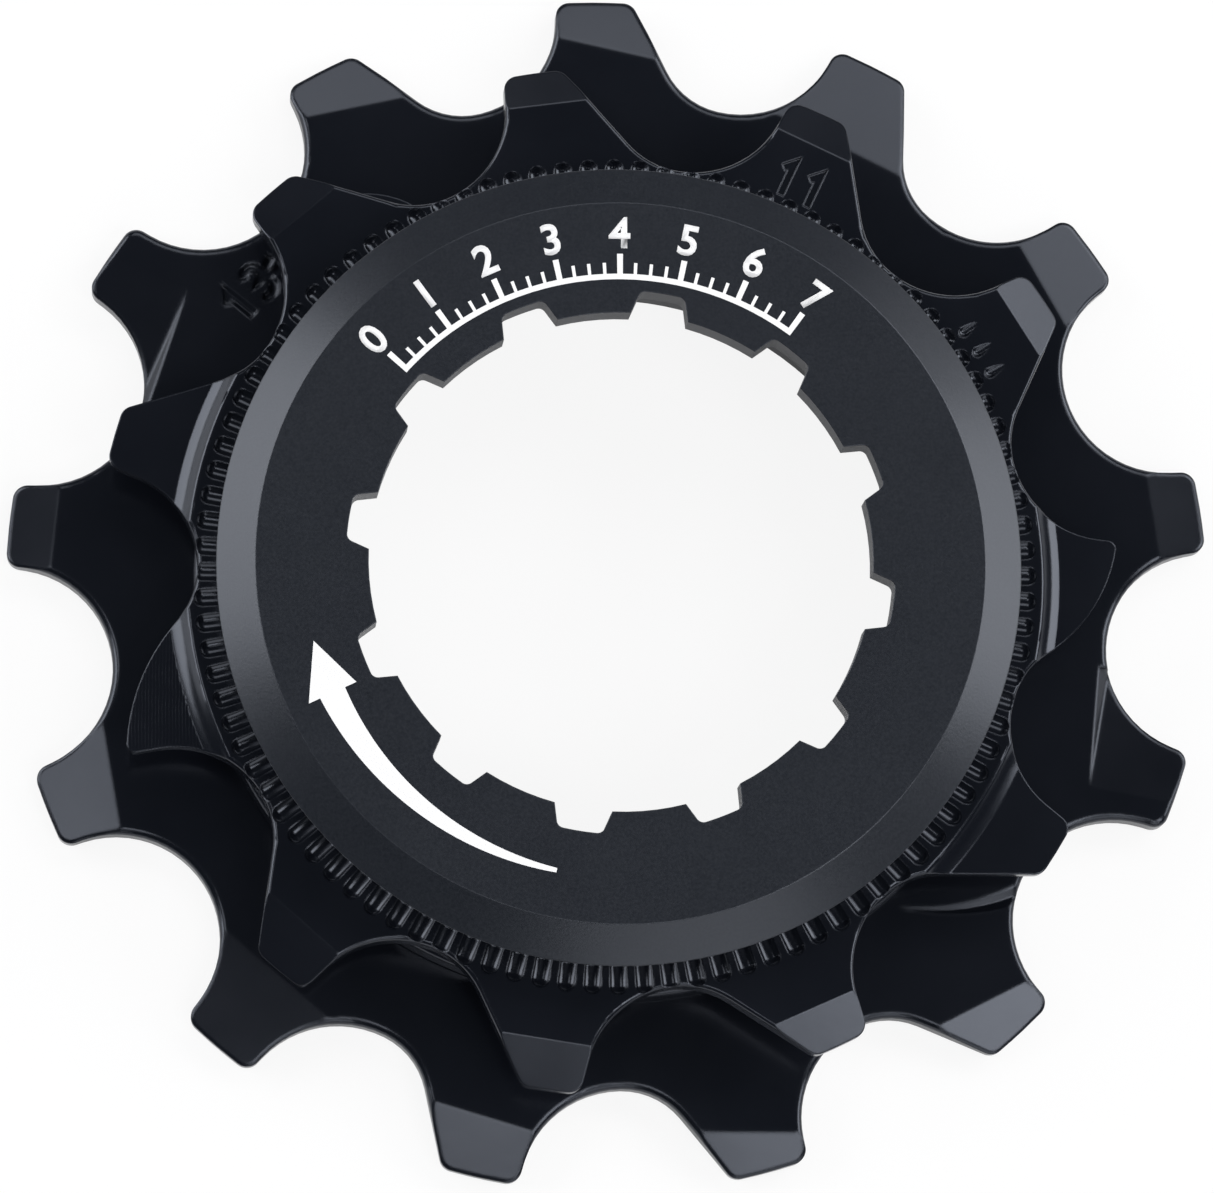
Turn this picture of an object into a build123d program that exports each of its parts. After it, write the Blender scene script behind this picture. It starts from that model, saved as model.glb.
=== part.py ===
from build123d import *
import os
from math import atan, atan2, cos, degrees, hypot, radians, sin, sqrt

# Small end of a bicycle cassette: a 13-tooth and an 11-tooth sprocket, the spacer ring
# between them, and the lockring that clamps the stack on a freehub. Millimetres and degrees.
# The axis is Z, the 13-tooth sprocket's back face is z = 0, and the lockring is on top.
# Angles are counted from +X towards +Y.

# ---- chain ----
chain_pitch = 12.7
root_inset = 3.9                 # from a pitch circle in to the roots, about a roller's radius

# ---- sprocket plates ----
plate_thickness = 1.6
sprocket_pitch = 3.95            # from one sprocket's face to the next
tip_land = 1.0                   # thickness left at a chamfered tooth tip
tip_corner = 0.65                # rounding of a tooth tip's two corners, in plan
large_edge_round = 0.3           # rounding along the plates' outer edges
small_edge_round = 0.2

# ---- 13-tooth sprocket ----
large_teeth = 13
large_tooth_height = 4.57
large_first_tooth = 7.93         # angle of tooth 0
large_steep_seat = 4.65          # radius of the roller seat beside a steep flank
large_steep_wrap = 73.0          # and the angle round it at which the straight flank starts
large_sloped_seat = 3.4
large_sloped_wrap = 51.5
large_sloped_teeth = (2, 3, 4, 9, 10, 11)    # teeth whose trailing flank is sloped

# ---- 11-tooth sprocket ----
small_teeth = 11
small_tooth_height = 4.57
small_first_tooth = -0.8
small_steep_seat = 4.4
small_steep_wrap = 68.0
small_sloped_seat = 3.8
small_sloped_wrap = 40.0
fin_drops = {0: 0.55, 6: 0.0}    # the two teeth shaped like a shark's fin, and how much lower they are
fin_corner = 0.4
lowered_teeth = (0, 5, 6, 10)    # teeth whose face lies lower than the rest of the plate
step_start = 0.37                # how far outside the roots a lowered tooth's face starts to drop
step_run = 0.95                  # how far out the drop reaches
step_depth = 0.6
step_steepest = 50.0             # slope of the drop below its rounded crest
step_foot = 18.0                 # slope at its foot, where its hollow ends in a crease
lowered_fall = 0.2               # how much further the lowered face falls up to the tip
ledge_tooth = 4                  # tooth with a low ledge outside its trailing flank
ledge_ends = ((2.25, -6.0), (0.25, -12.3))   # radius outside the roots, angle from the tooth
ledge_bulge = 0.35
ledge_drop = 0.5

# ---- tooth chamfers ----
# How far inside the tips each tooth's chamfer starts, on its leading (anticlockwise) and
# trailing side, from tooth 0 on. None is a tooth whose face is lowered or ramped instead.
chamfer_half_angle = 5.0         # those two are taken this far from the tooth's centre
large_chamfers = [
    (2.2, 2.2), (2.6, 3.1), (4.1, 4.1), (1.55, 2.6), (1.4, 2.7), None, (2.0, 2.0),
    (2.65, 3.55), (4.1, 4.1), (2.4, 2.7), (1.1, 2.3), (1.25, 2.5), None,
]
small_chamfers = [
    None, (1.6, 1.6), (1.55, 1.55), (1.55, 1.55), (1.7, 1.7), None, None,
    (2.2, 2.2), (2.1, 2.1), (1.9, 1.9), None,
]

# ---- shift ramps of the 13-tooth sprocket ----
# Each belongs to a tooth, and runs from a point where it fades out to one where it is
# deepest: (radius outside the roots, angle from the tooth).
gate_depth = 0.5
gates = {5: ((0.77, -1.9), (0.27, 12.1)), 12: ((0.77, -2.9), (0.27, 10.0))}
ramp_overrun = 1.05              # how far past its deepest point a ramp is cut, as a share of its length
groove_depth = 0.3
groove_width = 0.8
groove_tooth = 11
groove_ends = ((-3.23, -0.7), (0.42, 10.7))
groove_bulge = 0.4               # how far its middle lies outside the line between its ends

# ---- freehub splines in both sprockets ----
spline_count = 9
web_width = 1.24                 # from the 11-tooth sprocket's roots in to its bore
spline_depth = 1.25
lug_width = 5.4
index_lug_width = 3.9            # one lug is narrower, so that a sprocket goes on one way
first_lug_angle = 104.0          # the narrow one
lug_corner = 0.3

# ---- spacer ring ----
spacer_reach = 0.16              # how far it reaches outside the 11-tooth sprocket's roots
spacer_clearance = 0.05          # round the splines' crests
spacer_edge_round = 0.3

# ---- lockring washer ----
washer_thickness = 0.5
washer_clearance = 0.2           # round the lockring's thread relief

# ---- serrations round the 11-tooth sprocket's face, and three marks outside them ----
serration_count = 100
serration_start = 0.34           # how far inside the lockring's rim they start
serration_length = 1.34          # to their outer ends
serration_depth = 0.2
serration_cutter_radius = 0.5
mark_count = 3
mark_tooth = 1
mark_spacing = 3.25
mark_gap = 0.41                  # from the serrations' outer ends to their deepest points
mark_length = 0.8
mark_radius = 0.25
mark_depth = 0.14

# ---- lockring ----
flange_height = 3.12             # from the washer to the front face
rim_overlap = 0.44               # how far the flange covers the splines' crests
rim_edge = 0.15                  # height of the rim's cylindrical edge
bevel_run = 1.74
bevel_rise = 0.97
seat_inset = 0.5                 # how far the flange's underside stays inside the splines' crests
thread_inset = 0.9               # from the lugs in to the thread, room for the freehub's wall
thread_length = 4.2
relief_depth = 0.5               # of the groove between the thread and the flange
relief_length = 1.0
thread_chamfer = 0.4
barrel_wall = 1.9
lip_thickness = 1.6
socket_count = 12
socket_radius = 11.15            # bore across the lands between the tool notches
notch_depth = 1.0
notch_mouth_angle = 13.6         # width of a notch at the bore
notch_floor_angle = 9.4
notch_corner = 0.35
first_notch_angle = 21.0
lockring_edge_round = 0.1

# ---- stamped tooth counts ----
stamp_height = 1.6
stamp_spacing = 1.3              # from one digit to the next
stroke_width = 0.34
stamp_depth = 0.12
# Digits, tooth, and their middle's radius outside the roots and angle from the tooth.
large_stamp = ("13", 5, -1.53, -5.9)
small_stamp = ("11", 2, 1.02, 0.0)

# ---- radii and levels that follow ----
large_root_radius = chain_pitch / (2 * sin(radians(180 / large_teeth))) - root_inset
small_root_radius = chain_pitch / (2 * sin(radians(180 / small_teeth))) - root_inset
large_tip_radius = large_root_radius + large_tooth_height
small_tip_radius = small_root_radius + small_tooth_height
step_radius = small_root_radius + step_start
crest_radius = small_root_radius - web_width     # bore between the lugs
lug_radius = crest_radius - spline_depth         # bore across the lugs
spacer_radius = small_root_radius + spacer_reach
seat_radius = crest_radius - seat_inset
rim_radius = crest_radius + rim_overlap
thread_radius = lug_radius - thread_inset
relief_radius = thread_radius - relief_depth
barrel_bore_radius = thread_radius - barrel_wall
notch_radius = socket_radius + notch_depth
serration_inner_radius = rim_radius - serration_start
serration_outer_radius = serration_inner_radius + serration_length
mark_inner_radius = serration_outer_radius + mark_gap
large_face = plate_thickness
small_back = sprocket_pitch
small_face = small_back + plate_thickness
washer_face = small_face + washer_thickness
front_face = washer_face + flange_height
lip_back = front_face - lip_thickness
bevel_foot = front_face - bevel_rise
thread_top = washer_face - relief_length
barrel_end = thread_top - thread_length


def polar(radius, angle, z=0.0):
    """Point at this radius and angle round the axis."""
    return Vector(radius * cos(radians(angle)), radius * sin(radians(angle)), z)


def large_place(tooth, outside, angle):
    """Radius and angle of a point on the 13-tooth sprocket, given from its roots and a tooth."""
    return large_root_radius + outside, large_first_tooth + tooth * 360 / large_teeth + angle


def small_place(tooth, outside, angle):
    """Radius and angle of a point on the 11-tooth sprocket, given from its roots and a tooth."""
    return small_root_radius + outside, small_first_tooth + tooth * 360 / small_teeth + angle


def flank(valley_angle, side, root_radius, tip_radius, shape):
    """One side of a roller seat, from its bottom up to the tooth tip.

    side is 1 for the anticlockwise side of the valley and -1 for the other. Returns the
    seat's bottom, the seat arc's middle, its end, and the flank's top on the tip circle.
    """
    roller_seat_radius, wrap = shape

    def place(out, across):
        return polar(hypot(out, across), valley_angle + side * degrees(atan2(across, out)))

    def on_seat(turn):
        fall = roller_seat_radius * (1 - cos(radians(turn)))
        return root_radius + fall, roller_seat_radius * sin(radians(turn))

    out, across = on_seat(wrap)
    slope_out, slope_across = sin(radians(wrap)), cos(radians(wrap))
    along = out * slope_out + across * slope_across
    length = sqrt(along ** 2 + tip_radius ** 2 - out ** 2 - across ** 2) - along
    top = place(out + length * slope_out, across + length * slope_across)
    return place(root_radius, 0), place(*on_seat(wrap / 2)), place(out, across), top


def outline(teeth, root_radius, tip_radius, first_tooth, steep, sloped, sloped_teeth, drops):
    """The sprocket's outer shape as a face, with its tooth tips' corners rounded."""
    half_step = 180 / teeth
    edges = []
    corners = []
    points = []
    for tooth in range(teeth):
        tip = tip_radius - drops.get(tooth, 0)
        centre = first_tooth + tooth * 2 * half_step
        trailing = sloped if tooth in sloped_teeth else steep
        bottom, seat, start, back = flank(centre - half_step, 1, root_radius, tip, trailing)
        next_bottom, next_seat, next_start, front = flank(
            centre + half_step, -1, root_radius, tip, steep
        )
        edges.append(ThreePointArc(bottom, seat, start))
        if tooth in drops:
            # A fin's back is one long curve from the roller seat to its point.
            edges.append(TangentArc(start, front, tangent=edges[-1] % 1))
            points.append(front)
        else:
            crown = (back + front).normalized() * tip
            edges += [Line(start, back), ThreePointArc(back, crown, front)]
            corners += [back, front]
        edges += [Line(front, next_start), ThreePointArc(next_start, next_seat, next_bottom)]
    face = make_face(edges)
    for rounding, places in ((tip_corner, corners), (fin_corner, points)):
        sharp = [
            vertex for vertex in face.vertices()
            if any((Vector(*vertex) - place).length < tip_corner / 5 for place in places)
        ]
        if sharp:
            face = fillet(sharp, rounding)
    return face


def spline_bore(height):
    """The hole that slides over the freehub: round, with nine lugs left standing in it."""
    hole = Circle(crest_radius)
    for index in range(spline_count):
        width = lug_width if index else index_lug_width
        lug = Pos(lug_radius, 0) * Rectangle(crest_radius, width, align=(Align.MIN, Align.CENTER))
        hole -= Rot(Z=first_lug_angle + index * 360 / spline_count) * lug
    hole += Circle(lug_radius)
    hole = fillet(hole.vertices(), lug_corner)
    return Pos(0, 0, -height) * extrude(hole, amount=3 * height)


def prism(start, end, level, profile, length):
    """Prism that runs along the line from start towards end, from start on.

    profile holds (distance, height) points: the distance is across the line, away from the
    axis, and the height is over level.
    """
    run = (end - start).normalized()
    across = run.cross(Vector(0, 0, 1))
    if across.dot(start) < 0:
        across = -across
    base = start + Vector(0, 0, level)
    corners = [base + across * distance + Vector(0, 0, height) for distance, height in profile]
    return extrude(make_face(Polyline(*corners, close=True)), amount=length, dir=run)


def tooth_chamfer(angle, tip_radius, starts, face):
    """Wedge that is cut off a tooth's face, from a line across the tooth down to its tip."""
    leading, trailing = starts
    start = polar(tip_radius - trailing, angle - chamfer_half_angle)
    end = polar(tip_radius - leading, angle + chamfer_half_angle)
    width = (end - start).length
    slope = (plate_thickness - tip_land) / (tip_radius - (start + end).length / 2)
    reach = tip_radius / 2
    profile = [(0, 0), (reach, -reach * slope), (reach, reach), (0, reach)]
    return prism(start + (start - end) / 2, end, face, profile, 2 * width)


def sink(cutter, start, end, depth):
    """Tips a cutter over the 13-tooth sprocket's face, so that it goes deeper towards the end."""
    hinge = Axis((start.X, start.Y, large_face), (end - start).cross(Vector(0, 0, 1)))
    return cutter.rotate(hinge, -degrees(atan(depth / (end - start).length)))


def shift_gate(tooth, ends):
    """A sloping floor with a slanted step behind it, which lets the chain climb the plate."""
    start, end = [polar(*large_place(tooth, *place)) for place in ends]
    reach = large_tip_radius / 2
    profile = [(0, 0), (reach, 0), (reach, reach), (-reach, reach)]
    length = ramp_overrun * (end - start).length
    return sink(prism(start, end, large_face, profile, length), start, end, gate_depth)


def release_groove():
    """V groove in the 13-tooth sprocket's face, bent round the tooth beside it."""
    start, end = [polar(*large_place(groove_tooth, *place), large_face) for place in groove_ends]
    middle = (start + end) / 2
    across = (end - start).cross(Vector(0, 0, 1)).normalized() * groove_bulge
    path = ThreePointArc(start, middle + across, end)
    reach = groove_width
    steepness = 2 * groove_depth / groove_width
    section = Plane(start, x_dir=(path % 0).cross(Vector(0, 0, 1)), z_dir=path % 0) * make_face(
        Polyline((0, 0), (reach, -reach * steepness), (-reach, -reach * steepness), close=True)
    )
    return sink(sweep(section, path), start, end, groove_depth)


def flank_ledge():
    """Low ledge that bulges out of one flank of the 11-tooth sprocket."""
    start, end = [polar(*small_place(ledge_tooth, *place)) for place in ledge_ends]
    root = start.normalized() * small_root_radius
    middle = (start + end) / 2
    bulge = middle + middle.normalized() * ledge_bulge
    face = make_face([ThreePointArc(start, bulge, end), Line(end, root), Line(root, start)])
    return Pos(0, 0, small_back) * extrude(face, amount=plate_thickness - ledge_drop)


def lowered_tooth(angle, tip_radius):
    """Sector cut from the 11-tooth sprocket's face: a curved step and the low face past it."""
    half_step = 180 / small_teeth
    floor = small_face - step_depth
    foot_radius = step_radius + step_run
    outside = tip_radius + plate_thickness
    # The step rounds over a crest to its steepest, and then runs out in a hollow to its foot.
    steepest, foot = radians(step_steepest), radians(step_foot)
    hollow_run, hollow_fall = sin(steepest) - sin(foot), cos(foot) - cos(steepest)
    crest_run, crest_fall = sin(steepest), 1 - cos(steepest)
    hollow = (step_depth * crest_run - step_run * crest_fall) / (
        hollow_fall * crest_run - hollow_run * crest_fall
    )
    crest = (step_run - hollow * hollow_run) / crest_run

    def on_crest(turn):
        return step_radius + crest * sin(turn), small_face - crest * (1 - cos(turn))

    def on_hollow(turn):
        return foot_radius - hollow * (sin(turn) - sin(foot)), floor + hollow * (cos(foot) - cos(turn))

    section = make_face([
        ThreePointArc(on_crest(0), on_crest(steepest / 2), on_crest(steepest)),
        ThreePointArc(on_hollow(steepest), on_hollow((steepest + foot) / 2), on_hollow(foot)),
        Polyline(
            on_hollow(foot), (outside, floor - lowered_fall),
            (outside, small_face + plate_thickness), (step_radius, small_face + plate_thickness),
            on_crest(0),
        ),
    ])
    cutter = revolve(Rot(X=90) * section, Axis.Z, revolution_arc=2 * half_step)
    return Rot(Z=angle - half_step) * cutter


def radial_groove(inner_radius, outer_radius, cutter_radius, depth, face):
    """Cutter of a round-bottomed groove along +X, as deep all along, with a round outer end."""
    rise = cutter_radius - depth
    nose = outer_radius - sqrt(cutter_radius ** 2 - rise ** 2)
    bar = Rot(Y=90) * Cylinder(
        cutter_radius, nose - inner_radius, align=(Align.CENTER, Align.CENTER, Align.MIN)
    )
    return Pos(inner_radius, 0, face + rise) * bar + Pos(nose, 0, face + rise) * Sphere(cutter_radius)


def tapered_mark(inner_radius, outer_radius, cutter_radius, depth, face):
    """Cutter of a mark along +X, round and deepest at its inner end, that runs out to nothing."""
    length = outer_radius - inner_radius
    tilt = degrees(atan(depth / length))
    bar = Cylinder(cutter_radius, length, align=(Align.CENTER, Align.CENTER, Align.MAX))
    nail = bar + Pos(0, 0, -length) * Sphere(cutter_radius)
    return Pos(outer_radius, 0, face) * Rot(Y=90 - tilt) * Pos(-cutter_radius, 0, 0) * nail


def digit_strokes(digit):
    """Centre lines of a stamped digit of height 1, standing on y = 0."""
    if digit == "1":
        return [Line((0, 0), (0, 1)), Line((0, 1), (-0.25, 0.76))]
    return [
        CenterArc((0, 0.75), 0.25, -90, 240),
        CenterArc((0, 0.26), 0.26, -150, 240),
    ]


def stamp(digits, radius, angle, face):
    """Cutter of engraved digits, read clockwise with their tops outwards."""
    strokes = Sketch()
    for place, digit in enumerate(digits):
        shift = (place - (len(digits) - 1) / 2) * stamp_spacing
        lines = scale(Curve() + digit_strokes(digit), stamp_height)
        strokes += Pos(shift, -stamp_height / 2) * trace(lines, stroke_width)
    middle = polar(radius, angle, face)
    return Pos(*middle) * Rot(Z=angle - 90) * extrude(strokes, amount=-stamp_depth)


def plate(face, height, edge_round):
    """A sprocket's plate with rounded outer edges and the splined bore."""
    blank = extrude(face, amount=plate_thickness)
    rims = blank.edges().group_by(Axis.Z)
    blank = fillet(rims[0] + rims[-1], edge_round)
    return Pos(0, 0, height) * (blank - spline_bore(plate_thickness))


def sprocket_13t():
    """The back sprocket."""
    shape = outline(
        large_teeth, large_root_radius, large_tip_radius, large_first_tooth,
        (large_steep_seat, large_steep_wrap), (large_sloped_seat, large_sloped_wrap),
        large_sloped_teeth, {},
    )
    cuts = [shift_gate(*gate) for gate in gates.items()] + [release_groove()]
    for tooth, starts in enumerate(large_chamfers):
        if starts:
            angle = large_first_tooth + tooth * 360 / large_teeth
            cuts.append(tooth_chamfer(angle, large_tip_radius, starts, large_face))
    digits, *place = large_stamp
    return plate(shape, 0, large_edge_round) - cuts - [stamp(digits, *large_place(*place), large_face)]


def sprocket_11t():
    """The front sprocket, with the serrations that hold the lockring."""
    shape = outline(
        small_teeth, small_root_radius, small_tip_radius, small_first_tooth,
        (small_steep_seat, small_steep_wrap), (small_sloped_seat, small_sloped_wrap),
        range(small_teeth), fin_drops,
    )
    cuts = []
    for tooth, starts in enumerate(small_chamfers):
        angle = small_first_tooth + tooth * 360 / small_teeth
        if tooth in lowered_teeth:
            cuts.append(lowered_tooth(angle, small_tip_radius))
        elif starts:
            cuts.append(tooth_chamfer(angle, small_tip_radius, starts, small_face))
    serration = radial_groove(
        serration_inner_radius, serration_outer_radius, serration_cutter_radius,
        serration_depth, small_face,
    )
    cuts += [Rot(Z=step * 360 / serration_count) * serration for step in range(serration_count)]
    mark = tapered_mark(
        mark_inner_radius, mark_inner_radius + mark_length, mark_radius, mark_depth, small_face
    )
    for index in range(mark_count):
        angle = small_place(mark_tooth, 0, (index - (mark_count - 1) / 2) * mark_spacing)[1]
        cuts.append(Rot(Z=angle) * mark)
    digits, *place = small_stamp
    blank = plate(shape, small_back, small_edge_round) + flank_ledge()
    return blank - cuts - [stamp(digits, *small_place(*place), small_face)]


def turned(profile, roundings=()):
    """Solid of revolution about Z of (radius, height) points, with some corners rounded."""
    face = make_face(Polyline(*[(r, 0, z) for r, z in profile], close=True))
    for index, rounding in roundings:
        corner = Vector(profile[index][0], 0, profile[index][1])
        face = fillet(face.vertices().sort_by_distance(corner)[0], rounding)
    return revolve(face, Axis.Z)


def spacer_ring():
    """Plain ring that keeps the two sprockets one pitch apart."""
    bore = crest_radius + spacer_clearance
    profile = [
        (bore, large_face), (spacer_radius, large_face),
        (spacer_radius, small_back), (bore, small_back),
    ]
    return turned(profile, [(1, spacer_edge_round), (2, spacer_edge_round)])


def lockring_washer():
    """Thin steel ring, held captive between the lockring's flange and its thread."""
    bore = relief_radius + washer_clearance
    profile = [
        (bore, small_face), (seat_radius, small_face),
        (seat_radius, washer_face), (bore, washer_face),
    ]
    return turned(profile)


def tool_notch():
    """One notch of the lockring tool's socket, centred on +X."""
    inner = socket_radius - notch_depth
    inner_half = notch_mouth_angle - notch_floor_angle / 2
    floor_half = notch_floor_angle / 2
    foot, top = polar(inner, -inner_half), polar(notch_radius, -floor_half)
    other_top, other_foot = polar(notch_radius, floor_half), polar(inner, inner_half)
    face = make_face([
        Line(foot, top), ThreePointArc(top, polar(notch_radius, 0), other_top),
        Line(other_top, other_foot), Line(other_foot, foot),
    ])
    return fillet(face.vertices().sort_by(Axis.X)[-2:], notch_corner)


def lockring():
    """Flange with the tool socket in its lip, and the threaded barrel under it."""
    solid_lip = socket_radius / 2    # the lip's bore before the socket is cut
    profile = [
        (barrel_bore_radius, barrel_end), (thread_radius - thread_chamfer, barrel_end),
        (thread_radius, barrel_end + thread_chamfer), (thread_radius, thread_top),
        (relief_radius, thread_top), (relief_radius, washer_face),
        (seat_radius, washer_face), (rim_radius, bevel_foot - rim_edge),
        (rim_radius, bevel_foot), (rim_radius - bevel_run, front_face),
        (solid_lip, front_face), (solid_lip, lip_back),
        (barrel_bore_radius, lip_back),
    ]
    body = turned(profile, [(9, lockring_edge_round)])
    socket = Circle(socket_radius)
    for notch in range(socket_count):
        socket += Rot(Z=first_notch_angle + notch * 360 / socket_count) * tool_notch()
    hole = Pos(0, 0, lip_back - lip_thickness) * extrude(socket, amount=3 * lip_thickness)
    return body - hole


parts = {
    "sprocket_13t": sprocket_13t,
    "spacer_ring": spacer_ring,
    "sprocket_11t": sprocket_11t,
    "lockring_washer": lockring_washer,
    "lockring": lockring,
}

os.makedirs("parts", exist_ok=True)
for name, build in parts.items():
    solid = build()
    export_step(solid, f"parts/{name}.step")
    print(name, round(solid.volume, 1))
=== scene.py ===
import math

import bmesh
import bpy
from mathutils import Matrix, Vector


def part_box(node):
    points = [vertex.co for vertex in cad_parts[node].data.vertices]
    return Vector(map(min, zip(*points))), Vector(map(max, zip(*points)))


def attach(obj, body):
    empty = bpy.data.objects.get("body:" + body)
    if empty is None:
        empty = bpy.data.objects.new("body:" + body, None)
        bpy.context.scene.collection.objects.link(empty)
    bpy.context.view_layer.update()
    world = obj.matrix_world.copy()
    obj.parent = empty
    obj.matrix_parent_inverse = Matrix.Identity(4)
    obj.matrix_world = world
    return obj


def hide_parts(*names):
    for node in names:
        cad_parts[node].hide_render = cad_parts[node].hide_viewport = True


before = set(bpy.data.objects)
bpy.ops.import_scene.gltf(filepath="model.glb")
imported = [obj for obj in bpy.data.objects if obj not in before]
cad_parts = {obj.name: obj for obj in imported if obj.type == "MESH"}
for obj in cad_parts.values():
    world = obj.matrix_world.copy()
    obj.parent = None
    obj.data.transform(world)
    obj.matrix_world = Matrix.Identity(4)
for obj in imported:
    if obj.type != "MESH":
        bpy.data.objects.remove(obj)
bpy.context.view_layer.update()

# ---- 13-tooth sprocket ----
# The back sprocket is blanked from steel plate, its teeth are chamfered and its shift ramps
# coined, and then it is dipped in a hard black coating that dries to a deep gloss.
bevel_samples = 8
peel_scale = 1500
peel_depth = 0.000006
peel_strength = 0.2
cloud_scale = 140
coating_dark = (0.0030, 0.0037, 0.0058, 1)
coating_light = (0.0060, 0.0070, 0.0104, 1)
coating_sheen = (0.80, 0.86, 1, 1)
plate_edge_radius = 0.0003


class Wire:
    """A socket of a material's nodes, which Python's operators add Math nodes to."""

    def __init__(self, tree, socket=None):
        self.tree = tree
        self.socket = socket

    def node(self, kind, settings=None, inputs=None, output=None):
        """Adds a node: its settings first, then the values or wires of its input sockets."""
        node = self.tree.nodes.new(kind)
        for name, value in (settings or {}).items():
            setattr(node, name, value)
        for name, value in (inputs or {}).items():
            socket = node.inputs[name] if isinstance(name, int) else find(node.inputs, name)
            if isinstance(value, Wire):
                self.tree.links.new(value.socket, socket)
            else:
                socket.default_value = value
        if not node.outputs:
            return None
        return Wire(self.tree, find(node.outputs, output) if output else node.outputs[0])

    def math(self, operation, *values):
        """Adds a Math node on these values or wires."""
        return self.node("ShaderNodeMath", {"operation": operation}, dict(enumerate(values)))

    def __add__(self, other):
        return self.math("ADD", self, other)

    def __mul__(self, other):
        return self.math("MULTIPLY", self, other)

    def __sub__(self, other):
        return self.math("SUBTRACT", self, other)

    def __rsub__(self, other):
        return self.math("SUBTRACT", other, self)

    __radd__ = __add__
    __rmul__ = __mul__


def find(sockets, name):
    """The socket of this name that the node's settings leave in use."""
    return next(socket for socket in sockets if socket.enabled and socket.name == name)


def new_finish(name):
    """An empty material, a Wire in it to add nodes from, and its Object coordinates."""
    material = bpy.data.materials.new(name)
    material.use_nodes = True
    material.node_tree.nodes.clear()
    wires = Wire(material.node_tree)
    return material, wires, wires.node("ShaderNodeTexCoord", output="Object")


def noise(wires, place, scale, detail):
    """Cloudy noise with this many patches to a metre."""
    inputs = {"Vector": place, "Scale": scale, "Detail": detail}
    return wires.node("ShaderNodeTexNoise", inputs=inputs)


def blend(wires, factor, dark, light):
    """A colour between these two."""
    inputs = {"Factor": factor, "A": dark, "B": light}
    return wires.node("ShaderNodeMix", {"data_type": "RGBA"}, inputs, output="Result")


def bumped(wires, height, depth, strength, edge=None):
    """The normal over bumps of this depth, and over edges rounded to a radius, if any."""
    inputs = {"Strength": strength, "Distance": depth, "Height": height}
    if edge:
        settings = {"samples": bevel_samples}
        inputs["Normal"] = wires.node("ShaderNodeBevel", settings, {"Radius": edge})
    return wires.node("ShaderNodeBump", inputs=inputs)


def close_finish(wires, **sockets):
    """Ends a material in a Principled shader; an underscore stands for a space."""
    inputs = {name.replace("_", " "): value for name, value in sockets.items()}
    shader = wires.node("ShaderNodeBsdfPrincipled", inputs=inputs)
    wires.node("ShaderNodeOutputMaterial", inputs={"Surface": shader})


def gloss_coating(name, edge, milled=None):
    """Deep black gloss with a faint orange peel, drawn thin over edges of this radius.

    milled is the height of the cutter's lines under the coating, where there are any.
    """
    material, wires, place = new_finish(name)
    peel = noise(wires, place, peel_scale, 2)
    cloud = noise(wires, place, cloud_scale, 4)
    height = peel + milled(wires, place) if milled else peel
    close_finish(
        wires,
        Base_Color=blend(wires, cloud, coating_dark, coating_light),
        Roughness=0.10 + 0.14 * cloud,
        Specular_Tint=coating_sheen,
        Normal=bumped(wires, height, peel_depth, peel_strength, edge),
    )
    return material


def dress(node, material):
    """Gives a solid of the frame its material."""
    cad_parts[node].material_slots[0].material = material


dress("sprocket_13t", gloss_coating("sprocket_coating", plate_edge_radius))

# ---- spacer ring ----
# A plain steel ring, parted off a tube with its corners broken, in the sprockets' black
# coating. It only has to keep the two sprockets one pitch apart.

dress("spacer_ring", gloss_coating("spacer_coating", plate_edge_radius))

# ---- 11-tooth sprocket ----
# The front sprocket is blanked and coated as the back one is. The lowered face of the fin on
# its left is milled before coating, and the cutter's fine straight lines still show through.
front_edge_radius = 0.00012
fin_angle = 195.6
fin_half_angle = 12.0
fin_inner_radius = 0.0199
line_spacing = 0.00015
line_height = 3
line_waver = 5
waver_scale = 900


def milled_fin(wires, place):
    """Fine straight lines, and only on the fin, which the coating doesn't quite fill."""
    x = wires.node("ShaderNodeSeparateXYZ", inputs={"Vector": place}, output="X")
    y = wires.node("ShaderNodeSeparateXYZ", inputs={"Vector": place}, output="Y")
    turn = math.radians(fin_angle)
    half_width = fin_inner_radius * math.tan(math.radians(fin_half_angle))
    along_fin = math.cos(turn) * x + math.sin(turn) * y
    beside_fin = math.cos(turn) * y - math.sin(turn) * x
    near = wires.math("GREATER_THAN", along_fin, fin_inner_radius)
    inside = wires.math("LESS_THAN", wires.math("ABSOLUTE", beside_fin), half_width)
    waver = noise(wires, place, waver_scale, 3)
    phase = (2 * math.pi / line_spacing) * x + line_waver * waver
    return line_height * (near * inside * waver * wires.math("SINE", phase))


dress("sprocket_11t", gloss_coating("front_coating", front_edge_radius, milled_fin))

# ---- lockring washer ----
# A thin ring of bright steel strip, loose in the groove between the lockring's flange and
# its thread, that lets the flange turn against the serrations.
steel_colour = (0.50, 0.51, 0.53, 1)
steel_grain_scale = 4000
steel_grain_depth = 0.000005
steel_grain_strength = 0.3


def bright_steel(name):
    """Plain rolled steel with a fine grain."""
    material, wires, place = new_finish(name)
    grain = noise(wires, place, steel_grain_scale, 3)
    close_finish(
        wires,
        Base_Color=steel_colour,
        Metallic=1.0,
        Roughness=0.25 + 0.15 * grain,
        Normal=bumped(wires, grain, steel_grain_depth, steel_grain_strength),
    )
    return material


dress("lockring_washer", bright_steel("washer_steel"))

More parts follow.
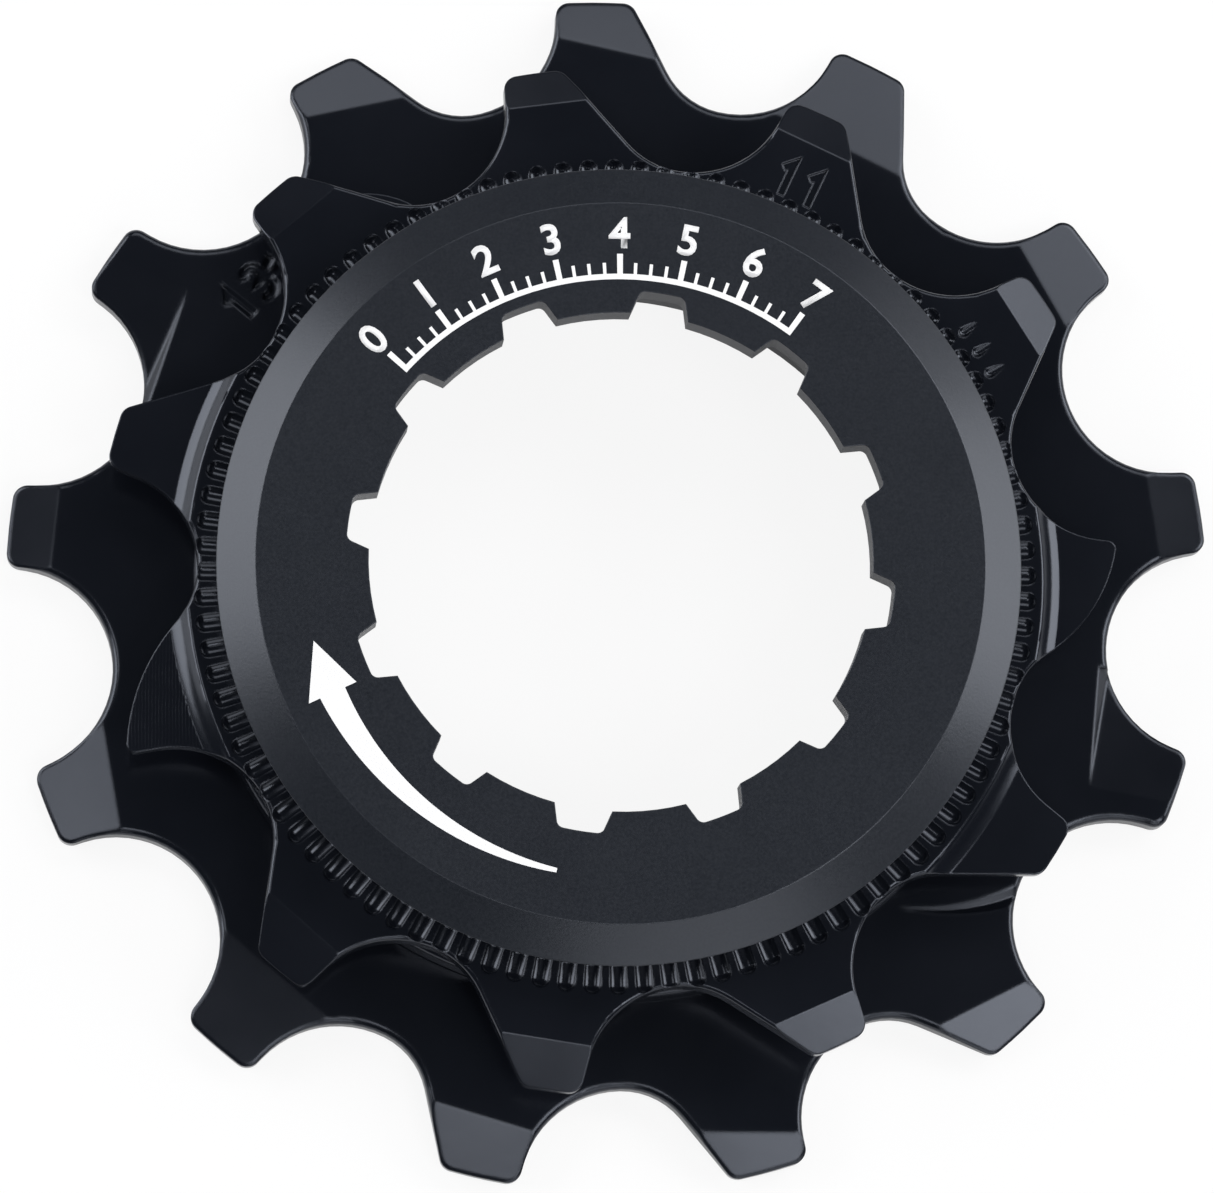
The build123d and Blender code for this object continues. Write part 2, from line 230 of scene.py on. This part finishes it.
# ---- lockring ----
# Turned from one bar of aluminium, with a cut thread and a broached tool socket, then bead
# blasted and anodised satin black. Its thread is 24 to the inch, right hand.
thread_pitch = 0.0254 / 24
thread_depth = 0.00062
thread_length = 0.0042
thread_crest = 0.015249
thread_half_flat = thread_pitch / 16
lead_in = 0.0004
steps_per_turn = 96
turns_below = 1.5            # what is spun past the barrel's foot, and then cut off
spare_turns = 2
barrel_bore = 0.013349
bore_margin = 0.001          # what lies this far outside the bore is the barrel's outer wall
same_place = 1e-7
level_margin = 1e-6
inlay_depth = 0.00001        # how far the face is lowered under the printed scale
sharp_angle = 11
blasted_scale = 8000
blasted_depth = 0.00001
blasted_strength = 0.35
patch_scale = 260
lockring_edge_radius = 0.00008
anodised_dark = (0.0066, 0.0080, 0.0112, 1)
anodised_light = (0.0166, 0.0187, 0.0236, 1)
anodised_sheen = (0.84, 0.89, 1, 1)


def open_rim(bm, height):
    """The open edges in the plane at this height."""
    return [
        e for e in bm.edges
        if len(e.link_faces) == 1 and all(abs(v.co.z - height) < same_place for v in e.verts)
    ]


def thread_tube(ends):
    """The thread's surface as an open tube, cut off at both ends and run out at the lower."""
    foot = ends[0][0]
    root = thread_crest - thread_depth
    profile = (
        (root, thread_half_flat),
        (thread_crest, thread_pitch / 2 - thread_half_flat),
        (thread_crest, thread_pitch / 2 + thread_half_flat),
        (root, thread_pitch - thread_half_flat),
    )
    bm = bmesh.new()
    line = []
    for turn in range(math.ceil(thread_length / thread_pitch) + spare_turns):
        start = foot - turns_below * thread_pitch + turn * thread_pitch
        line += [bm.verts.new((radius, 0, start + rise)) for radius, rise in profile]
    edges = [bm.edges.new(pair) for pair in zip(line, line[1:])]
    bmesh.ops.spin(
        bm, geom=line + edges, axis=(0, 0, 1), angle=2 * math.pi, steps=steps_per_turn,
        dvec=(0, 0, thread_pitch / steps_per_turn),
    )
    bmesh.ops.remove_doubles(bm, verts=bm.verts, dist=same_place)
    for level, normal in ends:
        bmesh.ops.bisect_plane(
            bm, geom=bm.verts[:] + bm.edges[:] + bm.faces[:],
            plane_co=(0, 0, level), plane_no=normal, clear_outer=True,
        )
    for v in bm.verts:
        limit = thread_crest - lead_in + (v.co.z - foot)
        if v.co.xy.length > limit:
            v.co.xy = v.co.xy.normalized() * limit
    mesh = bpy.data.meshes.new("threaded_barrel")
    bm.to_mesh(mesh)
    bm.free()
    return mesh


def threaded_lockring(node):
    """The solid lockring, with a thread in the place of its smooth barrel's outer wall."""
    low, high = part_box("lockring")
    shoulder = low.z + thread_length
    ends = ((low.z, (0, 0, -1)), (shoulder, (0, 0, 1)))
    bm = bmesh.new()
    bm.from_mesh(node.data)
    bmesh.ops.remove_doubles(bm, verts=bm.verts, dist=same_place)
    wall = [
        f for f in bm.faces
        if all(v.co.z < shoulder + level_margin for v in f.verts)
        and max(v.co.xy.length for v in f.verts) > barrel_bore + bore_margin
    ]
    bmesh.ops.delete(bm, geom=wall, context="FACES")
    for v in bm.verts:
        v.co.z = min(v.co.z, high.z - inlay_depth)

    tube = thread_tube(ends)
    bm.from_mesh(tube)
    bpy.data.meshes.remove(tube)
    for level, normal in ends:
        bmesh.ops.triangle_fill(bm, edges=open_rim(bm, level), use_beauty=True, normal=normal)
    bmesh.ops.recalc_face_normals(bm, faces=bm.faces)
    for face in bm.faces:
        face.smooth = True
    for e in bm.edges:
        e.smooth = len(e.link_faces) == 2 and e.calc_face_angle() < math.radians(sharp_angle)
    mesh = bpy.data.meshes.new("lockring_turned")
    bm.to_mesh(mesh)
    bm.free()
    return mesh


def anodised(name):
    """Bead-blasted aluminium, anodised black: satin, with a very fine grain."""
    material, wires, place = new_finish(name)
    grain = noise(wires, place, blasted_scale, 3)
    cloud = noise(wires, place, patch_scale, 4)
    close_finish(
        wires,
        Base_Color=blend(wires, 0.5 * cloud + 1.3 * grain - 0.4, anodised_dark, anodised_light),
        Roughness=0.26 + 0.08 * grain,
        Specular_Tint=anodised_sheen,
        Normal=bumped(wires, grain, blasted_depth, blasted_strength, lockring_edge_radius),
    )
    return material


turned_mesh = threaded_lockring(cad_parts["lockring"])
lockring = bpy.data.objects.new("lockring_turned", turned_mesh)
bpy.context.scene.collection.objects.link(lockring)
lockring.data.materials.append(anodised("lockring_anodising"))
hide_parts("lockring")
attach(lockring, "lockring")

# ---- printed scale ----
# A plain scale and a tightening arrow, pad printed in white on the lockring's face. The ink
# lies in a film about a hundredth of a millimetre thick. Angles are in degrees from +X.
face_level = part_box("lockring")[1].z - inlay_depth
ink_colour = (0.83, 0.83, 0.84, 1)
ink_speck_scale = 5000
ink_thickness = 0.000018
ink_root = 0.00001           # how far the film reaches into the face
same_outline = 0.000002

first_tick = 138
tick_step = 3
tick_count = 29
ticks_to_a_number = 4
base_line = (0.01265, 0.01290)
short_tick = (0.32, 0.0134)  # half its width, as an angle, and the radius of its end
long_tick = (0.55, 0.0138)
numeral_foot = 0.0141
numeral_height = 0.0019
numeral_weight = 0.025       # what is added to the strokes, as a share of the height
numeral_resolution = 4

arrow_middle = 0.01405
arrow_tail = 258
arrow_neck = 205
arrow_tip = 195
arrow_steps = 48
tail_half_width = 0.0001
arrow_widening = 0.0005
barb_half_width = 0.00115


def white_ink(name):
    """Matt white printing ink."""
    material, wires, place = new_finish(name)
    speck = noise(wires, place, ink_speck_scale, 2)
    close_finish(wires, Base_Color=ink_colour, Roughness=0.45 + 0.2 * speck)
    return material


def polar(radius, angle):
    """The point at this radius and angle."""
    turn = math.radians(angle)
    return Vector((radius * math.cos(turn), radius * math.sin(turn), 0))


def arc_band(bm, turns, width):
    """A flat strip round the axis at these angles; width gives its two radii for each.

    Returns its faces, and the pairs of points between them.
    """
    rows = [[bm.verts.new(polar(radius, turn)) for radius in width(turn)] for turn in turns]
    return [bm.faces.new((a, b, d, c)) for (a, b), (c, d) in zip(rows, rows[1:])], rows


def add_graduations(bm):
    """The scale's base line, the ticks drawn out of it, and a number on each long one."""
    ticks = [
        (first_tick - tick_step * tick, *(short_tick if tick % ticks_to_a_number else long_tick))
        for tick in range(tick_count)
    ]
    turns = [turn + side * half for turn, half, reach in ticks for side in (1, -1)]
    faces = arc_band(bm, turns, lambda turn: base_line)[0]
    for tick, (turn, half, reach) in enumerate(ticks):
        rim = [
            e for e in faces[2 * tick].edges
            if all(v.co.length > sum(base_line) / 2 for v in e.verts)
        ]
        for v in bmesh.ops.extrude_edge_only(bm, edges=rim)["geom"]:
            if isinstance(v, bmesh.types.BMVert):
                v.co = v.co.normalized() * reach
        if tick % ticks_to_a_number == 0:
            add_numeral(bm, str(tick // ticks_to_a_number), turn)


def add_numeral(bm, digit, turn):
    """One digit that stands upright over its tick."""
    text = bpy.data.curves.new("numeral", "FONT")
    text.body = digit
    text.size = numeral_height
    text.offset = numeral_height * numeral_weight
    text.resolution_u = numeral_resolution
    text.align_x = "CENTER"
    holder = bpy.data.objects.new("numeral", text)
    mesh = bpy.data.meshes.new_from_object(holder)
    upright = Matrix.Rotation(math.radians(turn - 90), 4, "Z")
    mesh.transform(Matrix.Translation(polar(numeral_foot, turn)) @ upright)
    bm.from_mesh(mesh)
    bpy.data.objects.remove(holder)
    bpy.data.curves.remove(text)
    bpy.data.meshes.remove(mesh)


def add_arrow(bm):
    """A curved arrow that widens from its tail to its head and points the way to tighten."""
    length = arrow_tail - arrow_neck

    def width(turn):
        half = tail_half_width + arrow_widening * (arrow_tail - turn) / length
        return arrow_middle - half, arrow_middle + half

    turns = [arrow_tail - length * share / arrow_steps for share in range(arrow_steps + 1)]
    inner, outer = arc_band(bm, turns, width)[1][-1]
    barbs = [
        bm.verts.new(polar(arrow_middle + side * barb_half_width, arrow_neck))
        for side in (-1, 1)
    ]
    point = bm.verts.new(polar(arrow_middle, arrow_tip))
    bm.faces.new((barbs[0], inner, outer, barbs[1], point))


def printed_scale():
    """The scale and the arrow as one thin closed film on the lockring's face."""
    bm = bmesh.new()
    add_graduations(bm)
    add_arrow(bm)
    bmesh.ops.remove_doubles(bm, verts=bm.verts, dist=same_outline)
    bmesh.ops.recalc_face_normals(bm, faces=bm.faces)
    bmesh.ops.translate(bm, verts=bm.verts, vec=(0, 0, face_level - ink_root))
    raised = bmesh.ops.extrude_face_region(bm, geom=bm.faces[:])
    bmesh.ops.translate(
        bm, verts=[v for v in raised["geom"] if isinstance(v, bmesh.types.BMVert)],
        vec=(0, 0, ink_thickness),
    )
    bmesh.ops.recalc_face_normals(bm, faces=bm.faces)
    mesh = bpy.data.meshes.new("lockring_scale")
    bm.to_mesh(mesh)
    bm.free()
    return mesh


scale = bpy.data.objects.new("lockring_scale", printed_scale())
bpy.context.scene.collection.objects.link(scale)
scale.data.materials.append(white_ink("white_ink"))
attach(scale, "lockring")

# ---- studio ----
# A plain white table top in a dim room. Soft panels stand on both sides and behind, and
# smaller ones hang over the front, where the bevel and the tooth chamfers mirror them.
toward_camera = Vector((-0.0646, -0.15679, 0.98552)).normalized()
view_target = Vector((-0.00016, -0.0004, 0.0016))
camera_distance = 0.33152
camera_lens = 218.06
camera_near = 0.01
sensor_width = 36

table_size = 1.5
table_drop = 0.0002          # gap under the back sprocket
table_colour = (0.86, 0.86, 0.87, 1)
glow_to_camera = 0.88        # share of plain white in what the camera and the part see
glow_to_mirrors = 0.12
white_light = (1, 1, 1, 1)
room_light = (0.80, 0.89, 1, 1)
room_strength = 0.06

# Each panel's azimuth and zenith angle, width, height, and how bright it looks; 1 is white.
lamp_distance = 0.8
panels = {
    "right_panel": (10, 60, 0.58, 0.36, 5.3),
    "right_back_panel": (41, 54, 0.26, 0.40, 2.6),
    "left_panel": (158, 60, 0.72, 0.38, 5.0),
    "low_left_panel": (163, 83, 0.80, 0.20, 1.8),
    "back_panel": (70, 38, 0.70, 0.30, 2.4),
    "front_panel": (321, 32, 0.22, 0.34, 5.7),
    "front_left_panel": (283, 31, 0.13, 0.16, 4.8),
    "steep_front_panel": (258, 17, 0.15, 0.17, 4.2),
    "low_front_panel": (286, 62, 0.55, 0.36, 2.0),
    "upper_left_panel": (172, 26, 0.18, 0.18, 3.2),
}


def add_camera():
    """A long lens almost over the part, a little from the front and the left."""
    camera = bpy.data.objects.new("camera", bpy.data.cameras.new("camera"))
    camera.data.lens = camera_lens
    camera.data.sensor_width = sensor_width
    camera.data.clip_start = camera_near
    camera.location = view_target + camera_distance * toward_camera
    camera.rotation_mode = "QUATERNION"
    camera.rotation_quaternion = Vector((0, 0, 1)).rotation_difference(toward_camera)
    bpy.context.scene.collection.objects.link(camera)
    bpy.context.scene.camera = camera


def table_finish(name):
    """White paper, lit so that it looks pure white but throws little light on the part."""
    material, wires, _ = new_finish(name)
    paper = wires.node("ShaderNodeBsdfDiffuse", inputs={"Color": table_colour})
    white = wires.node("ShaderNodeEmission", inputs={"Color": white_light, "Strength": 1.0})
    seen = wires.node("ShaderNodeLightPath", output="Is Camera Ray")
    mirrored = wires.node("ShaderNodeLightPath", output="Is Glossy Ray")
    glow = glow_to_camera * seen + glow_to_mirrors * mirrored
    mixed = wires.node("ShaderNodeMixShader", inputs={0: glow, 1: paper, 2: white})
    wires.node("ShaderNodeOutputMaterial", inputs={"Surface": mixed})
    return material


def add_table():
    """The table top, just under the back sprocket."""
    bm = bmesh.new()
    bmesh.ops.create_grid(bm, x_segments=1, y_segments=1, size=table_size)
    bmesh.ops.translate(bm, verts=bm.verts, vec=(0, 0, -table_drop))
    mesh = bpy.data.meshes.new("table_top")
    bm.to_mesh(mesh)
    bm.free()
    mesh.materials.append(table_finish("table_white"))
    table = bpy.data.objects.new("table_top", mesh)
    bpy.context.scene.collection.objects.link(table)


def add_lamp(name, azimuth, zenith, width, height, radiance):
    """A soft panel that faces the part, and that the camera doesn't see."""
    light = bpy.data.lights.new(name, "AREA")
    light.shape = "RECTANGLE"
    light.size = width
    light.size_y = height
    light.energy = radiance * math.pi * width * height
    holder = bpy.data.objects.new(name, light)
    away = polar(math.sin(math.radians(zenith)), azimuth)
    away.z = math.cos(math.radians(zenith))
    holder.location = away * lamp_distance
    holder.rotation_euler = away.to_track_quat("Z", "Y").to_euler()
    holder.visible_camera = False
    bpy.context.scene.collection.objects.link(holder)


def add_room():
    """Dim bluish light from all round, which the camera sees as white."""
    world = bpy.data.worlds.new("room")
    world.use_nodes = True
    world.node_tree.nodes.clear()
    room = Wire(world.node_tree)
    light = {"Color": room_light, "Strength": room_strength}
    dim = room.node("ShaderNodeBackground", inputs=light)
    white = room.node("ShaderNodeBackground", inputs={"Color": white_light, "Strength": 1.0})
    seen = room.node("ShaderNodeLightPath", output="Is Camera Ray")
    mixed = room.node("ShaderNodeMixShader", inputs={0: seen, 1: dim, 2: white})
    room.node("ShaderNodeOutputWorld", inputs={"Surface": mixed})
    bpy.context.scene.world = world


add_camera()
add_table()
for panel, values in panels.items():
    add_lamp(panel, *values)
add_room()
bpy.context.scene.view_settings.view_transform = "Standard"
